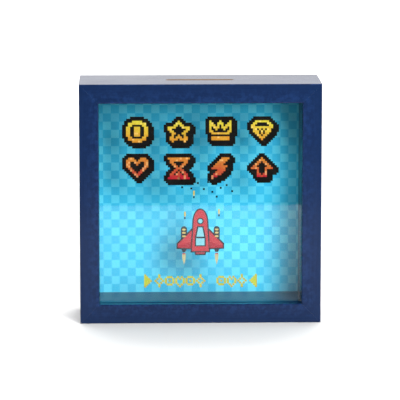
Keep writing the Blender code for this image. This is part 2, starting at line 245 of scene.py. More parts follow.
def to_object(name, shape, materials):
    mesh = bpy.data.meshes.new(name)
    shape.to_mesh(mesh)
    shape.free()
    for material in materials:
        mesh.materials.append(material)
    piece = bpy.data.objects.new(name, mesh)
    bpy.context.scene.collection.objects.link(piece)
    return piece


def bake(piece):
    """Keep what the modifiers make and drop the modifiers."""
    depsgraph = bpy.context.evaluated_depsgraph_get()
    mesh = bpy.data.meshes.new_from_object(piece.evaluated_get(depsgraph))
    piece.modifiers.clear()
    piece.data = mesh


def combine(piece, other, operation):
    """Cut or join with another closed shape, which is used up. Its materials come along."""
    boolean = piece.modifiers.new(operation.lower(), "BOOLEAN")
    boolean.operation = operation
    boolean.solver = "EXACT"
    boolean.material_mode = "TRANSFER"
    boolean.object = other
    bake(piece)
    bpy.data.objects.remove(other, do_unlink=True)


def smooth(piece, angle=32):
    piece.data.shade_smooth()
    piece.data.set_sharp_from_angle(angle=radians(angle))
    weighted = piece.modifiers.new("weighted_normals", "WEIGHTED_NORMAL")
    weighted.keep_sharp = True


def coat(node, material):
    """Give a node of the frame its finish."""
    node.data.materials.clear()
    node.data.materials.append(material)


def place_on(piece, body, slot, *replaced):
    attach(piece, body)
    if replaced:
        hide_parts(*replaced)


# ---------------------------------------------------------------- material helpers


def new_material(name, roughness, metallic=0.0):
    material = bpy.data.materials.new(name)
    material.use_nodes = True
    shader = material.node_tree.nodes["Principled BSDF"]
    shader.inputs["Roughness"].default_value = roughness
    shader.inputs["Metallic"].default_value = metallic
    return material, material.node_tree, shader


def add_node(tree, kind, values=None, **settings):
    """A node whose inputs are set from values, where a socket is linked and the rest is stored."""
    item = tree.nodes.new(kind)
    for key, value in settings.items():
        setattr(item, key, value)
    for key, value in (values or {}).items():
        if isinstance(value, bpy.types.NodeSocket):
            tree.links.new(value, item.inputs[key])
        else:
            item.inputs[key].default_value = value
    return item


def place_in_metres(tree, scale=(1.0, 1.0, 1.0), location=(0.0, 0.0, 0.0)):
    """The point's own place in the object, stretched and moved."""
    here = add_node(tree, "ShaderNodeTexCoord").outputs["Object"]
    mapping = add_node(tree, "ShaderNodeMapping",
                       {"Vector": here, "Scale": scale, "Location": location})
    return mapping.outputs["Vector"]


def noise(tree, scale, stretch=(1.0, 1.0, 1.0), detail=3.0, roughness=0.55, distortion=0.0):
    place = place_in_metres(tree, stretch)
    texture = add_node(tree, "ShaderNodeTexNoise",
                       {"Vector": place, "Scale": scale, "Detail": detail,
                        "Roughness": roughness, "Distortion": distortion})
    return texture.outputs["Fac"]


def calculate(tree, operation, first, second=0.0):
    item = add_node(tree, "ShaderNodeMath", {0: first, 1: second}, operation=operation)
    return item.outputs["Value"]


def toned(tint, share):
    """A darker or paler tone of a colour."""
    return [min(1.0, value * share) for value in tint]


def ramp(tree, factor, low, high, start=0.0, end=1.0):
    """A number that runs from low to high as factor runs from start to end."""
    item = add_node(tree, "ShaderNodeMapRange",
                    {"Value": factor, "From Min": start, "From Max": end,
                     "To Min": low, "To Max": high})
    return item.outputs["Result"]


def blend_colours(tree, factor, first, second):
    item = tree.nodes.new("ShaderNodeMix")
    item.data_type = "RGBA"
    for socket, value in ((item.inputs["Factor"], factor), (item.inputs[6], first),
                          (item.inputs[7], second)):
        if isinstance(value, bpy.types.NodeSocket):
            tree.links.new(value, socket)
        elif socket.type == "RGBA":
            socket.default_value = (*tuple(value)[:3], 1.0)
        else:
            socket.default_value = value
    return item.outputs[2]


def add_bump(tree, shader, height, depth, strength=1.0):
    bump = add_node(tree, "ShaderNodeBump",
                    {"Height": height, "Distance": depth, "Strength": strength})
    tree.links.new(bump.outputs["Normal"], shader.inputs["Normal"])


def connect(tree, source, shader, socket):
    tree.links.new(source, shader.inputs[socket])


# ---------------------------------------------------------------- materials


def blue_foil(name, settings, along):
    """Satin foil printed with wood grain that runs along one axis."""
    material, tree, shader = new_material(name, 0.2)
    shader.inputs["IOR"].default_value = 1.25
    stretch = [0.035 if axis == along else 1.0 for axis in "XYZ"]
    streaks = noise(tree, 1500.0, stretch, detail=4.0, roughness=0.6, distortion=0.3)
    pores = noise(tree, 5200.0, [value * 0.8 for value in stretch], detail=2.0)
    clouds = noise(tree, 34.0, detail=2.0)
    grain = blend_colours(tree, ramp(tree, streaks, 0.0, 1.0, 0.36, 0.66),
                          settings.foil, settings.foil_light)
    grain = blend_colours(tree, ramp(tree, pores, 0.14, 0.0, 0.3, 0.46), grain,
                          toned(settings.foil, 0.55))
    # Painted highlight: the rounded long edges get a paler foil colour, broken up by noise, standing in for
    # light catching the arris.
    arris_highlight_mask = add_node(tree, "ShaderNodeAttribute", attribute_name="arris").outputs["Fac"]
    highlight_breakup = noise(tree, 420.0, detail=3.0)
    painted_arris_highlight = calculate(tree, "MULTIPLY", arris_highlight_mask, ramp(tree, highlight_breakup, 0.0, 0.55, 0.42, 0.68))
    grain = blend_colours(tree, painted_arris_highlight, grain, toned(settings.foil_light, 2.2))
    connect(tree, grain, shader, "Base Color")
    connect(tree, ramp(tree, clouds, 0.19, 0.22, 0.3, 0.7), shader, "Roughness")
    add_bump(tree, shader, pores, 0.01 * MM, 0.5)
    return material


def raw_board(settings):
    """Sawn fibreboard: brown, matt and furry."""
    material, tree, shader = new_material("raw_fibreboard", 0.88)
    fibres = noise(tree, 2600.0, (1.0, 0.35, 1.0), detail=5.0, roughness=0.7)
    patches = noise(tree, 160.0, detail=2.0)
    brown = blend_colours(tree, ramp(tree, fibres, 0.0, 1.0, 0.34, 0.68),
                          toned(settings.board, 0.62), settings.board)
    brown = blend_colours(tree, ramp(tree, patches, 0.0, 0.35, 0.4, 0.7), brown,
                          toned(settings.board, 1.25))
    connect(tree, brown, shader, "Base Color")
    add_bump(tree, shader, fibres, 0.06 * MM)
    return material


def clear_glass():
    """A pane that lets light straight through and mirrors more at a slant, alike from both sides."""
    material, tree, shader = new_material("clear_float_glass", 0.0)
    tree.nodes.remove(shader)
    clear = add_node(tree, "ShaderNodeBsdfTransparent", {"Color": (0.985, 0.996, 0.99, 1.0)})
    shine = add_node(tree, "ShaderNodeBsdfAnisotropic",
                     {"Color": (1.0, 1.0, 1.0, 1.0), "Roughness": 0.015})
    slant = add_node(tree, "ShaderNodeLayerWeight", {"Blend": 0.5}).outputs["Facing"]
    share = ramp(tree, calculate(tree, "POWER", slant, MIRROR_RISE), MIRROR_HEAD_ON, 1.0)
    pane = add_node(tree, "ShaderNodeMixShader",
                    {0: share, 1: clear.outputs["BSDF"], 2: shine.outputs["BSDF"]})
    output = tree.nodes["Material Output"]
    tree.links.new(pane.outputs["Shader"], output.inputs["Surface"])
    return material


def screen_ink():
    """Screen-printed ink in the colour stored on each face, with a faint weave from the screen."""
    material, tree, shader = new_material("screen_ink", 0.7)
    shader.inputs["IOR"].default_value = 1.15
    ink = add_node(tree, "ShaderNodeAttribute", attribute_name="ink").outputs["Color"]
    mottle = noise(tree, 900.0, detail=3.0)
    shade = blend_colours(tree, ramp(tree, mottle, 0.0, 0.16, 0.35, 0.7), ink, (0.0, 0.0, 0.0))
    connect(tree, shade, shader, "Base Color")
    add_bump(tree, shader, noise(tree, 5000.0, detail=1.0), 0.004 * MM, 0.4)
    return material


def checked_card(settings):
    """Two-tone check, laid out from the floor of the chamber and the middle of the card."""
    material, tree, shader = new_material("checked_card", 0.85)
    shader.inputs["IOR"].default_value = 1.3
    scale = (1.0 / settings.check_width, 1.0, 1.0 / settings.check_height)
    start = (-settings.check_offset / settings.check_width, 0.0,
             -FLOOR_OF_CHAMBER / settings.check_height)
    place = place_in_metres(tree, scale, start)
    split = add_node(tree, "ShaderNodeSeparateXYZ", {"Vector": place})
    column = calculate(tree, "FLOOR", split.outputs["X"])
    row = calculate(tree, "FLOOR", split.outputs["Z"])
    odd = calculate(tree, "FLOORED_MODULO", calculate(tree, "ADD", column, row), 2.0)
    check = blend_colours(tree, odd, settings.light, settings.dark)

    cell = add_node(tree, "ShaderNodeCombineXYZ", {"X": column, "Y": row})
    chance = add_node(tree, "ShaderNodeTexWhiteNoise", {"Vector": cell.outputs["Vector"]},
                      noise_dimensions="2D")
    jitter = ramp(tree, chance.outputs["Value"], 0.0, 0.42)
    check = blend_colours(tree, jitter, check, settings.stray)
    dots = noise(tree, 3800.0, detail=1.0)
    check = blend_colours(tree, ramp(tree, dots, 0.0, 0.16, 0.35, 0.65), check,
                          toned(settings.light, 1.35))

    here = add_node(tree, "ShaderNodeTexCoord").outputs["Object"]
    depth = add_node(tree, "ShaderNodeSeparateXYZ", {"Vector": here}).outputs["Y"]
    cut = ramp(tree, depth, 0.0, 1.0, CARD_LOW.y + 0.02 * MM, CARD_LOW.y + 0.03 * MM)
    face = blend_colours(tree, cut, check, settings.edge)
    connect(tree, face, shader, "Base Color")
    add_bump(tree, shader, noise(tree, 2200.0, detail=3.0), 0.01 * MM, 0.5)
    return material


def smooth_hardboard(settings):
    """Pressed brown board: glossy dark skin over short fibres, with a few pale flecks."""
    material, tree, shader = new_material("smooth_hardboard", 0.6)
    fibres = noise(tree, 1500.0, detail=6.0, roughness=0.72)
    flecks = noise(tree, 1100.0, (1.0, 1.0, 0.6), detail=2.0)
    clouds = noise(tree, 28.0, detail=3.0)
    brown = blend_colours(tree, ramp(tree, fibres, 0.0, 1.0, 0.34, 0.68),
                          toned(settings.hardboard, 0.58), settings.hardboard)
    brown = blend_colours(tree, ramp(tree, clouds, 0.0, 0.4, 0.35, 0.7), brown,
                          toned(settings.hardboard, 1.35))
    brown = blend_colours(tree, ramp(tree, flecks, 0.0, 0.55, 0.66, 0.76), brown,
                          toned(settings.hardboard, 2.3))
    connect(tree, brown, shader, "Base Color")
    connect(tree, ramp(tree, clouds, 0.5, 0.68, 0.3, 0.7), shader, "Roughness")
    add_bump(tree, shader, fibres, 0.05 * MM, 0.8)
    return material


def pressed_metal(name, tint, roughness, brushing=(1.0, 1.0, 1.0)):
    """Plated sheet metal: fine rolling lines, slightly cloudy plating."""
    material, tree, shader = new_material(name, roughness, metallic=1.0)
    lines = noise(tree, 4200.0, brushing, detail=3.0)
    clouds = noise(tree, 260.0, detail=3.0)
    metal = blend_colours(tree, ramp(tree, clouds, 0.0, 0.55, 0.35, 0.7), tint,
                          toned(tint, 0.68))
    metal = blend_colours(tree, ramp(tree, lines, 0.0, 0.25, 0.4, 0.65), metal,
                          toned(tint, 1.3))
    connect(tree, metal, shader, "Base Color")
    connect(tree, ramp(tree, clouds, roughness * 0.8, roughness * 1.35, 0.3, 0.7), shader,
            "Roughness")
    add_bump(tree, shader, lines, 0.006 * MM, 0.6)
    return material


# ---------------------------------------------------------------- rails


def rail_profile(settings):
    """The rail's section as (inward, y, kind) points; kind tells what the side after it shows."""
    radius = settings.arris
    groove_floor = RAIL - (LEFT_HIGH.x - GLASS_LOW.x) - FIT_GAP / 3
    groove_front, groove_rear = GLASS_LOW.y - FIT_GAP / 3, GLASS_HIGH.y + FIT_GAP / 3
    wall = PANEL_LOW.x - LEFT_LOW.x - FIT_GAP
    kerf_front, kerf_rear = BUTTON_LOW.y - KERF_GAP, BUTTON_HIGH.y + KERF_GAP
    kerf_floor = wall - KERF_DEPTH
    outer, inner, rear = [
        [(x, y, "foil" if point == ARRIS_STEPS else "arris")
         for point, (x, y) in enumerate(arc(*centre, radius, start, start + 90, ARRIS_STEPS))]
        for centre, start in (((radius, FRONT_Y + radius), 180),
                              ((RAIL - radius, FRONT_Y + radius), 270),
                              ((radius, REAR_Y - radius), 90))]
    sawn = [(RAIL, groove_front, "foil"), (groove_floor, groove_front, "foil"),
            (groove_floor, groove_rear, "foil"), (RAIL, groove_rear, "foil"),
            (RAIL, LEDGE_Y, "board"), (wall, LEDGE_Y, "board"), (wall, kerf_front, "board"),
            (kerf_floor, kerf_front, "board"), (kerf_floor, kerf_rear, "board"),
            (wall, kerf_rear, "board"), (wall, REAR_Y, "board")]
    return outer + inner + sawn + rear


def rail_shape(settings, length):
    """The section run along X and mitred, its outer face at z = 0 and its inside below."""
    profile = rail_profile(settings)
    setback = settings.joint / 2
    shape = bmesh.new()
    arris_layer = shape.verts.layers.float.new("arris")
    ends = []
    for sign in (-1, 1):
        ends.append([shape.verts.new((sign * (length / 2 - inward - setback), y, -inward))
                     for inward, y, kind in profile])
        for vertex, (inward, y, kind) in zip(ends[-1], profile):
            vertex[arris_layer] = 1.0 if kind == "arris" else 0.0
    caps = [shape.faces.new(ends[0]), shape.faces.new(list(reversed(ends[1])))]
    for face in caps:
        face.material_index = 1
    count = len(profile)
    for index, (inward, y, kind) in enumerate(profile):
        after = (index + 1) % count
        side = shape.faces.new([ends[0][index], ends[1][index], ends[1][after], ends[0][after]])
        side.material_index = 1 if kind == "board" else 0
    outward(shape)
    return shape


def slot_cutter(settings, board):
    """The slot through the top rail, flared at its mouth."""
    ease = settings.slot_ease
    levels = [(TOP_LOW.z - RAIL / 2, 0.0), (TOP_HIGH.z - ease, 0.0), (TOP_HIGH.z, ease),
              (TOP_HIGH.z + ease, 2 * ease)]
    shape = bmesh.new()
    loops = []
    for z, grow in levels:
        outline = slot_outline(settings.slot_length + 2 * grow, settings.slot_width + 2 * grow)
        loops.append(outline_face(shape, outline, z))
    for lower, upper in zip(loops, loops[1:]):
        bmesh.ops.bridge_loops(shape, edges=list(lower.edges) + list(upper.edges))
    for middle in loops[1:-1]:
        shape.faces.remove(middle)
    bmesh.ops.translate(shape, verts=shape.verts, vec=(0.0, SLOT_Y, 0.0))
    outward(shape)
    return to_object("slot_cutter", shape, [board])


def nail_pocket(node, board):
    """Where a V nail bites into the wood: its own outline, a little wider, run out of the back."""
    low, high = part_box(node)
    wing, steel, clear = high.x - low.x, NAIL_STEEL, NAIL_CLEARANCE
    inside_x = 1 if low.x < 0 else -1
    inside_z = 1 if low.z < MIDDLE_Z else -1
    corner = (low.x if inside_x > 0 else high.x, low.z if inside_z > 0 else high.z)
    points = [(-clear, -clear), (wing + clear, -clear), (wing + clear, steel + clear),
              (steel + clear, steel + clear), (steel + clear, wing + clear), (-clear, wing + clear)]
    outline = [(corner[0] + inside_x * x, corner[1] + inside_z * z) for x, z in points]
    shape = slab(outline, 0.0, 2 * (high.y - low.y))
    lie = Matrix.Translation((0, high.y + (high.y - low.y), 0)) @ Matrix.Rotation(pi / 2, 4, "X")
    bmesh.ops.transform(shape, matrix=lie, verts=shape.verts)
    outward(shape)
    return to_object("nail_pocket", shape, [board])


class BANK_OT_rails(bpy.types.Operator):
    """Add the four foil-wrapped rails with their groove, rebate, kerf and coin slot"""
    bl_idname = "bank.rails"
    bl_label = "Rails"

    def execute(self, context):
        settings = context.scene.bank_rails
        across = blue_foil("blue_foil_across", settings, "X")
        upright = blue_foil("blue_foil_upright", settings, "Z")
        board = raw_board(settings)
        left_turn = Matrix.Rotation(-pi / 2, 4, "Y")
        sides = {
            "top": (WIDTH, Matrix.Translation((0, 0, TOP_HIGH.z)), across),
            "bottom": (WIDTH, Matrix.Translation((0, 0, BOTTOM_LOW.z)) @ left_turn @ left_turn,
                       across),
            "left": (HEIGHT, Matrix.Translation((LEFT_LOW.x, 0, MIDDLE_Z)) @ left_turn, upright),
            "right": (HEIGHT, Matrix.Translation((RIGHT_HIGH.x, 0, MIDDLE_Z))
                      @ left_turn.inverted(), upright),
        }
        for side, (length, place, foil) in sides.items():
            shape = rail_shape(settings, length)
            bmesh.ops.transform(shape, matrix=place, verts=shape.verts)
            rail = to_object(f"{side}_rail", shape, [foil, board])
            if side == "top":
                combine(rail, slot_cutter(settings, board), "DIFFERENCE")
            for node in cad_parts:
                if node.startswith("v_nail") and side in node:
                    combine(rail, nail_pocket(node, board), "DIFFERENCE")
            smooth(rail)
            place_on(rail, "frame", "blue_foil_mdf", f"frame_{side}_rail")
        return {"FINISHED"}


# ---------------------------------------------------------------- glass and its print

# Each icon is eleven cells wide and high; a hash is a coloured cell.
ICON_CELLS = 11
COIN = """
...#####...
.#########.
.##.....##.
##..###..##
##..###..##
##..###..##
##..###..##
##..###..##
.##.....##.
.#########.
...#####...
"""
STAR = """
.....#.....
....###....
...##.##...
####...####
##.......##
.##.....##.
..##...##..
..#..#..#..
.##.###.##.
.####.####.
..#.....#..
"""
CROWN = """
#....#....#
##..###..##
###.#.#.###
#.###.###.#
#..#...#..#
##.......##
.#########.
...........
.#########.
.#########.
...........
"""
GEM = """
..#######..
.##.....##.
##.......##
###########
.##.#.#.##.
.###.#.###.
..##.#.##..
...##.##...
....###....
.....#.....
...........
"""
HEART = """
.###...###.
#####.#####
##..###..##
##...#...##
##.......##
.##.....##.
..##...##..
...##.##...
....###....
.....#.....
...........
"""
HOURGLASS = """
###########
.#########.
.##.....##.
..##...##..
...##.##...
....###....
...##.##...
..##.#.##..
.##.###.##.
.#########.
###########
"""
BOLT = """
......####.
.....####..
....####...
...####....
..#######..
.#######...
....####...
...####....
..####.....
.###.......
.#.........
"""
ARROW = """
.....#.....
....###....
...##.##...
..##...##..
.##.....##.
####...####
...#...#...
...#...#...
...##.##...
...#####...
...........
"""
ICONS = ((COIN, STAR, CROWN, GEM), (HEART, HOURGLASS, BOLT, ARROW))
ICON_LEFT, ICON_TOP = -46.0 * MM, 126.6 * MM        # corner of the first one
ICON_PITCH, ICON_DROP = 25.8 * MM, 23.1 * MM        # from one to the next, across and down
TONE_SPREAD = 0.16                                  # how far a cell strays from its row's tone
FLECK_CHANCE, FLECK_SHARE, FLECK_TINT = 0.12, 0.2, (1.0, 0.72, 0.32)

# Falling specks as (x, z) in millimetres, and their side.
SPECKS = ((-13.6, 91.2), (-12.2, 89.6), (-8.8, 87.8), (-11.9, 85.4), (-6.2, 84.6), (-2.1, 88.0),
          (1.6, 84.2), (6.9, 82.4), (12.1, 84.9), (15.8, 86.6), (19.2, 82.8), (9.6, 79.4),
          (-4.4, 91.0), (4.3, 88.6))
SPECK_SIDE = 1.15 * MM

# The small symbols are five cells wide, with a space between rows.
SYMBOL_COLUMNS = 5
POINTER = "#.... ##... ###.. ####. ###.. ##... #...."
TOKEN = "..... .###. #...# #.#.# #...# .###. ....."
SPARKLE = "..#.. ..#.. .#.#. #...# .#.#. ..#.. ..#.."
SMALL_HEART = "..... .#.#. #.#.# #...# #...# .#.#. ..#.."
SYMBOLS = (POINTER, SPARKLE, TOKEN, SMALL_HEART, TOKEN, SPARKLE, None,
           TOKEN, SMALL_HEART, SPARKLE, POINTER)


class Print:
    """Thin layers of ink behind the glass; every face keeps its own colour."""

    def __init__(self, ink):
        self.shape = bmesh.new()
        self.colours = self.shape.loops.layers.float_color.new("ink")
        self.ink = ink

    def level(self, layer):
        """The front of a layer: layer 0 lies on the glass, and each next one behind it."""
        return GLASS_HIGH.y + self.ink * (LAYER_GAP + (1.0 + LAYER_GAP) * layer)

    def paint(self, face, tint):
        for loop in face.loops:
            loop[self.colours] = (*tuple(tint)[:3], 1.0)

    def plate(self, outline, tint, layer):
        """A flat shape, given as (x, z) points, one layer thick."""
        front = self.level(layer)
        face = self.shape.faces.new([self.shape.verts.new((x, front, z)) for x, z in outline])
        self.paint(face, tint)
        thicken(self.shape, [face], (0.0, self.ink, 0.0))

    def cells(self, cells, corner, cell, layer=0):
        """Square cells that share their corners: {(column, row): colour}, counted from the top left.

        Two cells that would meet at a corner alone stay a hair apart there, so that no edge has four faces.
        """
        front = self.level(layer)
        corners = {}
        faces = []
        for (column, row), tint in cells.items():
            ring = []
            for across, down in ((0, 0), (1, 0), (1, 1), (0, 1)):
                key = (column + across, row + down)
                x, z = corner[0] + key[0] * cell, corner[1] - key[1] * cell
                right, lower = 2 * across - 1, 2 * down - 1
                beside = {(column + right, row), (column, row + lower)} & cells.keys()
                if (column + right, row + lower) in cells and not beside:
                    key = (*key, column)
                    x, z = x - right * CORNER_GAP, z + lower * CORNER_GAP
                if key not in corners:
                    corners[key] = self.shape.verts.new((x, front, z))
                ring.append(corners[key])
            face = self.shape.faces.new(ring)
            self.paint(face, tint)
            faces.append(face)
        thicken(self.shape, faces, (0.0, self.ink, 0.0))

    def finish(self, name, material):
        outward(self.shape)
        piece = to_object(name, self.shape, [material])
        place_on(piece, "frame", "glass")
        return piece


def filled_cells(drawing):
    rows = drawing.split()
    return {(column, row) for row, line in enumerate(rows)
            for column, mark in enumerate(line) if mark == "#"}


def ground_cells(cells, border=2):
    """The dark ground of an icon: its rows filled in, grown by a border, and thrown down right."""
    filled = set()
    for row in {row for column, row in cells}:
        columns = [column for column, own_row in cells if own_row == row]
        filled |= {(column, row) for column in range(min(columns), max(columns) + 1)}
    grown = set()
    for column, row in filled:
        for across in range(-border, border + 1):
            for down in range(-border, border + 1):
                if abs(across) + abs(down) < 2 * border:
                    grown.add((column + across, row + down))
    return grown | {(column + 1, row + 1) for column, row in grown}


def mix(first, second, share):
    return [a + (b - a) * share for a, b in zip(tuple(first)[:3], tuple(second)[:3])]


class BANK_OT_icons(bpy.types.Operator):
    """Print eight icons of square cells, two rows of four, and the specks that fall from them"""
    bl_idname = "bank.icons"
    bl_label = "Icons"

    def execute(self, context):
        settings = context.scene.bank_print
        chance = random.Random(5)
        sheet = Print(settings.ink)
        tones = ((settings.yellow, settings.amber), (settings.orange, settings.crimson))
        for row, (icons, (upper, lower)) in enumerate(zip(ICONS, tones)):
            for column, drawing in enumerate(icons):
                corner = (ICON_LEFT + ICON_PITCH * column, ICON_TOP - ICON_DROP * row)
                bright = filled_cells(drawing)
                tints = {spot: settings.black for spot in ground_cells(bright)}
                for across, down in bright:
                    share = down / (ICON_CELLS - 1) + chance.uniform(-TONE_SPREAD, TONE_SPREAD)
                    tint = mix(upper, lower, min(1.0, max(0.0, share)))
                    if chance.random() < FLECK_CHANCE:
                        tint = mix(tint, FLECK_TINT, FLECK_SHARE)
                    tints[across, down] = tint
                sheet.cells(tints, corner, settings.cell)
        for x, z in SPECKS:
            sheet.cells({(0, 0): settings.black}, (x * MM, z * MM), SPECK_SIDE)
        sheet.finish("printed_icons", screen_ink())
        return {"FINISHED"}


def capsule(centre_x, low, high, half_width, steps=8):
    """An upright bar with round ends."""
    points = arc(centre_x, high - half_width, half_width, 0, 180, steps)
    return points + arc(centre_x, low + half_width, half_width, 180, 360, steps)


def disc(centre_x, centre_z, radius, steps=24):
    return arc(centre_x, centre_z, radius, 0, 360, steps)[:-1]


def hull_outline(grow=0.0):
    """A rocket body: a foot that tapers to the shoulder, and a round nose on it."""
    foot, waist, base, shoulder, tip = 5.3 * MM, 4.2 * MM, 44.4 * MM, 62.5 * MM, 70.6 * MM
    nose = arc(0.0, 0.0, 1.0, 0, 180, 16)
    top = [(x * (waist + grow), shoulder + z * (tip - shoulder + grow)) for x, z in nose]
    return [(foot + grow, base - grow), *top, (-foot - grow, base - grow)]


def mirrored(outline):
    return [(-x, z) for x, z in reversed(outline)]


def in_millimetres(points):
    return [(x * MM, z * MM) for x, z in points]


def mirror_image(right):
    """A shape that is alike on both sides, from its right-hand points in millimetres."""
    right = in_millimetres(right)
    return right + mirrored(right)


class BANK_OT_rocket(bpy.types.Operator):
    """Print a plain rocket with two boosters, flames and tracer marks"""
    bl_idname = "bank.rocket"
    bl_label = "Rocket"

    def execute(self, context):
        settings = context.scene.bank_print
        sheet = Print(settings.ink)
        line, porthole_z = 0.85 * MM, 63.4 * MM

        # Hull: dark line behind, red in front of it, windows nearest the glass.
        sheet.plate(hull_outline(line), settings.outline, 3)
        sheet.plate(hull_outline(), settings.red, 2)
        sheet.plate(disc(0.0, porthole_z, 2.1 * MM), settings.outline, 1)
        sheet.plate(disc(0.0, porthole_z, 1.35 * MM), settings.pale_blue, 0)
        bay = mirror_image([(3.4, 47.4), (3.4, 53.0), (2.0, 60.2)])
        upper_pane = mirror_image([(2.4, 53.6), (1.2, 59.4)])
        lower_pane = mirror_image([(2.6, 48.1), (2.6, 52.5)])
        sheet.plate(bay, settings.outline, 1)
        sheet.plate(upper_pane, settings.pale_blue, 0)
        sheet.plate(lower_pane, settings.pale_blue, 0)
        sheet.plate(mirror_image([(3.2, 41.8), (4.0, 44.4)]), settings.outline, 4)
        sheet.plate(mirror_image([(2.6, 42.6), (3.0, 44.0)]), settings.dark_red, 3)

        # Fins and boosters, the same on both sides.
        fin = in_millimetres([(5.4, 57.4), (14.0, 48.8), (14.0, 46.6), (5.4, 46.2)])
        fin_line = in_millimetres([(4.6, 59.6), (14.9, 49.3), (14.9, 45.8), (4.6, 45.4)])
        fin_shade = in_millimetres([(5.2, 50.6), (14.0, 47.8), (14.0, 46.6), (5.4, 46.2)])
        booster_x = 10.2 * MM
        booster = capsule(booster_x, 50.5 * MM, 60.2 * MM, 1.9 * MM)
        band_radius, band_stretch = 0.65 * MM, 1.9
        nozzle = in_millimetres([(8.2, 46.2), (12.2, 46.2), (11.0, 43.8), (9.4, 43.8)])
        nozzle_glow = in_millimetres([(9.2, 43.2), (11.2, 43.2), (11.0, 42.4), (9.4, 42.4)])
        flame = in_millimetres([(9.0, 42.6), (11.4, 42.6), (11.2, 39.4), (10.2, 35.8), (9.2, 39.4)])
        for flip in (lambda outline: outline, mirrored):
            sheet.plate(flip(fin_line), settings.outline, 5)
            sheet.plate(flip(fin), settings.red, 4)
            sheet.plate(flip(fin_shade), settings.dark_red, 3)
            sheet.plate(flip(booster), settings.outline, 6)
            for low in (53.2, 55.4, 57.4):
                band = disc(booster_x, low * MM + band_radius, band_radius, 8)
                sheet.plate(flip([(booster_x + (x - booster_x) * band_stretch, z) for x, z in band]),
                            settings.cream, 2)
            sheet.plate(flip(nozzle), settings.outline, 2)
            sheet.plate(flip(flame), mix(settings.cream, settings.pale_blue, 0.2), 1)
            sheet.plate(flip(nozzle_glow), settings.crimson, 0)

        # Tracer marks: a pale streak over a dark one.
        for x, z in ((-4.0, 80.4), (-9.6, 67.2), (11.6, 68.8)):
            sheet.plate(capsule(x * MM, (z - 1.0) * MM, (z + 2.3) * MM, 0.5 * MM, 4),
                        mix(settings.yellow, settings.cream, 0.5), 1)
            sheet.plate(capsule(x * MM, (z - 2.6) * MM, (z - 1.1) * MM, 0.5 * MM, 4),
                        settings.outline, 1)
        sheet.finish("printed_rocket", screen_ink())
        return {"FINISHED"}


class BANK_OT_symbols(bpy.types.Operator):
    """Print a row of small lemon symbols with an orange edge along the foot of the glass"""
    bl_idname = "bank.symbols"
    bl_label = "Symbols"

    def execute(self, context):
        settings = context.scene.bank_print
        sheet = Print(settings.ink)
        cell, pitch, top, shift = 1.16 * MM, 6.45 * MM, 29.8 * MM, 0.28 * MM
        left = -(len(SYMBOLS) * pitch - (pitch - SYMBOL_COLUMNS * cell)) / 2
        fringe = mix(settings.amber, settings.lemon, 0.25)
        for index, drawing in enumerate(SYMBOLS):
            if drawing is None:
                continue
            spots = filled_cells(drawing)
            if index > len(SYMBOLS) / 2:
                spots = {(SYMBOL_COLUMNS - 1 - column, row) for column, row in spots}
            corner = (left + index * pitch, top)
            sheet.cells({spot: settings.lemon for spot in spots}, corner, cell)
            behind = (corner[0] + shift, corner[1] - shift)
            sheet.cells({spot: fringe for spot in spots}, behind, cell, layer=1)
        sheet.finish("printed_symbols", screen_ink())
        return {"FINISHED"}


class BANK_OT_glass(bpy.types.Operator):
    """Give the pane its clear glass"""
    bl_idname = "bank.glass"
    bl_label = "Glass"

    def execute(self, context):
        coat(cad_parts["glass_pane"], clear_glass())
        return {"FINISHED"}


# ---------------------------------------------------------------- card, back and metalwork


class BANK_OT_card(bpy.types.Operator):
    """Print the card with its two-tone check"""
    bl_idname = "bank.card"
    bl_label = "Card"

    def execute(self, context):
        coat(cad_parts["printed_card"], checked_card(context.scene.bank_card))
        return {"FINISHED"}


class BANK_OT_panel(bpy.types.Operator):
    """Give the lift-out back panel its hardboard finish"""
    bl_idname = "bank.panel"
    bl_label = "Back panel"

    def execute(self, context):
        coat(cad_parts["back_panel"], smooth_hardboard(context.scene.bank_back))
        return {"FINISHED"}


def button_outline(reach, pivot_radius, tip_radius):
    """Pivot at the origin, tip along +x: two round ends joined by the lines that touch both."""
    distance = reach - tip_radius
    touch = 90 - degrees(asin((pivot_radius - tip_radius) / distance))
    tip = arc(distance, 0, tip_radius, -touch, touch, 20)
    return tip + arc(0, 0, pivot_radius, touch, 360 - touch, 28)


def button_pivot(side):
    """A turn-button's pivot and the way it points at rest, both from its own box and its rivet's."""
    low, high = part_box(f"button_rivet_{side}")
    pivot = (low + high) / 2
    low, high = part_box(f"turn_button_{side}")
    offset = (low + high) / 2 - pivot
    return pivot, atan2(-offset.z, offset.x)


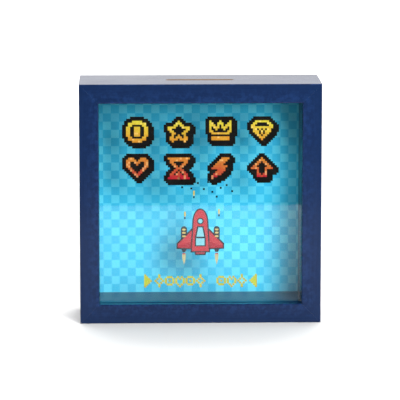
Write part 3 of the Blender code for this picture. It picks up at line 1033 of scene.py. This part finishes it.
class BANK_OT_buttons(bpy.types.Operator):
    """Add the four zinc-plated turn-buttons with a pressed rib and rounded edges"""
    bl_idname = "bank.buttons"
    bl_label = "Turn-buttons"

    def execute(self, context):
        settings = context.scene.bank_back
        pivot_radius = (BUTTON_HIGH.z - BUTTON_LOW.z) / 2
        reach = BUTTON_HIGH.x - BUTTON_LOW.x - pivot_radius
        thickness = BUTTON_HIGH.y - BUTTON_LOW.y
        rib_share, rib_middle = 0.50, 0.64      # of the reach: the rib's length, and how far out it lies
        for side in ("top", "bottom", "left", "right"):
            pivot, heading = button_pivot(side)
            shape = slab(button_outline(reach, pivot_radius, BUTTON_TIP_RADIUS), 0.0, thickness)
            rims = [edge for edge in shape.edges
                    if abs(edge.verts[0].co.z - edge.verts[1].co.z) < 1e-7]
            round_edges(shape, rims, settings.edge, 3)
            outward(shape)
            plate = to_object(f"turn_button_{side}_plate", shape,
                              [pressed_metal(f"zinc_{side}", settings.zinc, 0.30, (1.0, 1.0, 0.06))])

            rib = slab(slot_outline(reach * rib_share, settings.rib_width), thickness / 2,
                       thickness / 2 + settings.rib_height)
            crest = [edge for edge in rib.edges
                     if min(vertex.co.z for vertex in edge.verts) > thickness]
            round_edges(rib, crest, settings.rib_height * 0.9, 4)
            bmesh.ops.translate(rib, verts=rib.verts, vec=(reach * rib_middle, 0.0, 0.0))
            outward(rib)
            combine(plate, to_object("rib", rib, [plate.data.materials[0]]), "UNION")

            lie = Matrix.Rotation(heading, 4, "Y") @ Matrix.Rotation(-pi / 2, 4, "X")
            plate.data.transform(Matrix.Translation((pivot.x, BUTTON_LOW.y, pivot.z)) @ lie)
            smooth(plate)
            place_on(plate, f"button_{side}", "zinc_steel", f"turn_button_{side}")
        return {"FINISHED"}


def rivet_profile(front, work_rear, rear):
    """A flared end in the front of the panel, a shank, and a rolled dome with a dimple behind."""
    flange, shank, head = 2.6 * MM, 1.5 * MM, 3.0 * MM
    height = rear - work_rear
    profile = [(0.0, front), (flange, front), (flange, front + 0.35 * MM), (shank, front + 0.5 * MM),
               (shank, work_rear), (head, work_rear)]
    crown = [(head * cos(radians(angle)), work_rear + 0.25 * height + 0.75 * height * sin(radians(angle)))
             for angle in range(0, 66, 8)]
    dimple = [(0.9 * MM, rear - 0.05 * MM), (0.7 * MM, rear - 0.25 * MM), (0.3 * MM, rear - 0.4 * MM),
              (0.0, rear - 0.42 * MM)]
    return profile + crown + dimple


class BANK_OT_rivets(bpy.types.Operator):
    """Add the rivets that hold the turn-buttons and the hanger"""
    bl_idname = "bank.rivets"
    bl_label = "Rivets"

    def execute(self, context):
        settings = context.scene.bank_back
        nickel = pressed_metal("nickel_rivet", settings.nickel, 0.2)
        for node in [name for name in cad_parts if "_rivet_" in name]:
            low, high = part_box(node)
            profile = rivet_profile(low.y, high.y - RIVET_HEAD_DEPTH, high.y)
            shape = turned(profile, settings.sides)
            middle = (low + high) / 2
            bmesh.ops.translate(shape, verts=shape.verts, vec=(middle.x, 0.0, middle.z))
            rivet = to_object(f"{node}_head", shape, [nickel])
            smooth(rivet, 40)
            place_on(rivet, "back", "rivet_steel", node)
        return {"FINISHED"}


class BANK_OT_hanger(bpy.types.Operator):
    """Add the brass-plated sawtooth hanger with its raised bridge"""
    bl_idname = "bank.hanger"
    bl_label = "Hanger"

    def execute(self, context):
        settings = context.scene.bank_back
        width, height = HANGER_HIGH.x - HANGER_LOW.x, HANGER_HIGH.z - HANGER_LOW.z
        thickness, bridge = 0.8 * MM, 18.0 * MM
        rise = HANGER_HIGH.y - HANGER_LOW.y - thickness
        teeth, tooth_height = 7, 1.8 * MM
        brass = pressed_metal("brass_plate", settings.brass, 0.27, (0.08, 1.0, 1.0))

        # The sheet is cut flat as (x, z) points and then bent, so that it keeps its thickness.
        pitch = bridge / (teeth + 1)
        left = -teeth / 2 * pitch
        lower = [(-bridge / 2, 0.0), (left, 0.0)]
        for tooth in range(teeth):
            lower += [(left + (tooth + 0.5) * pitch, tooth_height), (left + (tooth + 1) * pitch, 0.0)]
        lower += [(bridge / 2, 0.0)]
        feet = [bridge / 2 + rise * share for share in (0.25, 0.5, 0.75, 1.0)]
        corner = 1.2 * MM
        right_end = arc(width / 2 - corner, corner, corner, -90, 0, 5)
        right_end += arc(width / 2 - corner, height - corner, corner, 0, 90, 5)
        below = [(-x, 0.0) for x in reversed(feet)] + lower + [(x, 0.0) for x in feet]
        above = [(x, height) for x, _ in reversed(below)]
        outline = below + right_end + above + [(-x, z) for x, z in reversed(right_end)]

        shape = slab(outline, 0.0, thickness)
        for x in [-foot for foot in feet] + [-bridge / 2, bridge / 2] + feet:
            bmesh.ops.bisect_plane(shape, geom=shape.verts[:] + shape.edges[:] + shape.faces[:],
                                   plane_co=(x, 0, 0), plane_no=(1, 0, 0), dist=1e-7)
        foot = bridge / 2 + rise
        for vertex in shape.verts:
            climb = min(1.0, max(0.0, (foot - abs(vertex.co.x)) / rise))
            vertex.co.z += rise * climb * climb * (3.0 - 2.0 * climb)
        lie = Matrix.Translation((0, HANGER_LOW.y, HANGER_LOW.z)) @ Matrix(
            ((1, 0, 0, 0), (0, 0, 1, 0), (0, 1, 0, 0), (0, 0, 0, 1)))
        bmesh.ops.transform(shape, matrix=lie, verts=shape.verts)
        outward(shape)
        strip = to_object("hanger_strip", shape, [brass])
        edges = strip.modifiers.new("sheared_edge", "BEVEL")
        edges.width = settings.edge / 2
        edges.segments = 2
        edges.limit_method = "ANGLE"
        edges.angle_limit = radians(50)
        bake(strip)
        smooth(strip, 40)
        place_on(strip, "back", "hanger_steel", "sawtooth_hanger")
        return {"FINISHED"}


class BANK_OT_nails(bpy.types.Operator):
    """Give the V nails at the corners their dull steel"""
    bl_idname = "bank.nails"
    bl_label = "V nails"

    def execute(self, context):
        steel = pressed_metal("dull_steel", context.scene.bank_back.steel, 0.5)
        for name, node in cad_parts.items():
            if name.startswith("v_nail"):
                coat(node, steel)
        return {"FINISHED"}


# ---------------------------------------------------------------- stage


def stage_plane(name, corners, z, tint, roughness):
    """A flat rectangle at one height, between two (x, y) corners."""
    shape = bmesh.new()
    bmesh.ops.create_grid(shape, x_segments=1, y_segments=1, size=0.5)
    (x0, y0), (x1, y1) = corners
    bmesh.ops.scale(shape, verts=shape.verts, vec=(x1 - x0, y1 - y0, 1.0))
    bmesh.ops.translate(shape, verts=shape.verts, vec=((x0 + x1) / 2, (y0 + y1) / 2, z))
    material, tree, shader = new_material(name, roughness)
    shader.inputs["Base Color"].default_value = (*tuple(tint)[:3], 1.0)
    plane = to_object(name, shape, [material])
    return plane


def softbox(name, target, offset, sizes, watts):
    """An oval area light that faces its target from an offset. Mirror reflections don't show it."""
    light = bpy.data.lights.new(name, "AREA")
    light.shape = "ELLIPSE"
    light.size, light.size_y = sizes
    light.energy = watts
    lamp = bpy.data.objects.new(name, light)
    lamp.location = target + offset
    lamp.rotation_euler = (-offset).to_track_quat("-Z", "Y").to_euler()
    lamp.visible_glossy = False
    bpy.context.scene.collection.objects.link(lamp)


class BANK_OT_stage(bpy.types.Operator):
    """Set the pale floor, the soft light, the white surround and the camera"""
    bl_idname = "bank.stage"
    bl_label = "Stage"

    def execute(self, context):
        settings = context.scene.bank_stage
        reach = 6.0
        stage_plane("floor", ((-reach, FRONT_Y - settings.table_front), (reach, reach)), 0.0,
                    settings.floor, 0.9)

        world = bpy.data.worlds.new("studio")
        world.use_nodes = True
        tree = world.node_tree
        direction = add_node(tree, "ShaderNodeTexCoord").outputs["Generated"]
        split = add_node(tree, "ShaderNodeSeparateXYZ", {"Vector": direction})
        behind = ramp(tree, split.outputs["Y"], 0.0, settings.backdrop, -0.1, 0.2)
        above = ramp(tree, split.outputs["Z"], 0.0, settings.ceiling, 0.15, 0.45)
        seen = add_node(tree, "ShaderNodeLightPath").outputs["Is Camera Ray"]
        white = calculate(tree, "MAXIMUM", calculate(tree, "MAXIMUM", behind, above), seen)
        background = tree.nodes["Background"]
        background.inputs["Color"].default_value = (1.0, 1.0, 1.0, 1.0)
        strength = ramp(tree, white, settings.dim, settings.sky)
        strength.node.clamp = False
        connect(tree, strength, background, "Strength")
        context.scene.world = world

        middle = Vector((0.0, 0.0, MIDDLE_Z))
        softbox("key_softbox", middle, KEY_PLACE, KEY_SIZES, settings.key)
        softbox("overhead_softbox", middle, OVERHEAD_PLACE, OVERHEAD_SIZES, settings.overhead)
        softbox("backdrop_softbox", WASH_TARGET, WASH_PLACE, WASH_SIZES, settings.wash)

        lens = bpy.data.cameras.new("camera")
        lens.lens = settings.lens
        lens.clip_end = 50.0
        camera = bpy.data.objects.new("camera", lens)
        camera.location = (-settings.eye_side, FRONT_Y - settings.eye_distance, settings.eye_height)
        camera.rotation_euler = (CAMERA_AIM - camera.location).to_track_quat("-Z", "Y").to_euler()
        context.scene.collection.objects.link(camera)
        context.scene.camera = camera
        context.scene.view_settings.view_transform = "Standard"
        return {"FINISHED"}


# ---------------------------------------------------------------- panel and running

STEPS = (BANK_OT_stage, BANK_OT_rails, BANK_OT_glass, BANK_OT_icons, BANK_OT_rocket,
         BANK_OT_symbols, BANK_OT_card, BANK_OT_panel, BANK_OT_buttons, BANK_OT_rivets,
         BANK_OT_hanger, BANK_OT_nails)
SETTINGS = {"bank_rails": RailSettings, "bank_print": PrintSettings, "bank_card": CardSettings,
            "bank_back": BackSettings, "bank_stage": StageSettings}


class BANK_PT_panel(bpy.types.Panel):
    bl_idname = "BANK_PT_panel"
    bl_label = "Money bank"
    bl_space_type = "VIEW_3D"
    bl_region_type = "UI"
    bl_category = "Money bank"

    def draw(self, context):
        for step in STEPS:
            self.layout.operator(step.bl_idname)
        for name, group in SETTINGS.items():
            box = self.layout.box()
            box.label(text=group.__name__.replace("Settings", ""))
            for key in group.__annotations__:
                box.prop(getattr(context.scene, name), key)


CLASSES = (*SETTINGS.values(), *STEPS, BANK_PT_panel)


def register():
    for item in CLASSES:
        bpy.utils.register_class(item)
    for name, group in SETTINGS.items():
        setattr(bpy.types.Scene, name, PointerProperty(type=group))


def unregister():
    for name in SETTINGS:
        delattr(bpy.types.Scene, name)
    for item in reversed(CLASSES):
        bpy.utils.unregister_class(item)


def main():
    register()
    for step in STEPS:
        area, verb = step.bl_idname.split(".")
        getattr(getattr(bpy.ops, area), verb)()


if __name__ == "__main__":
    main()
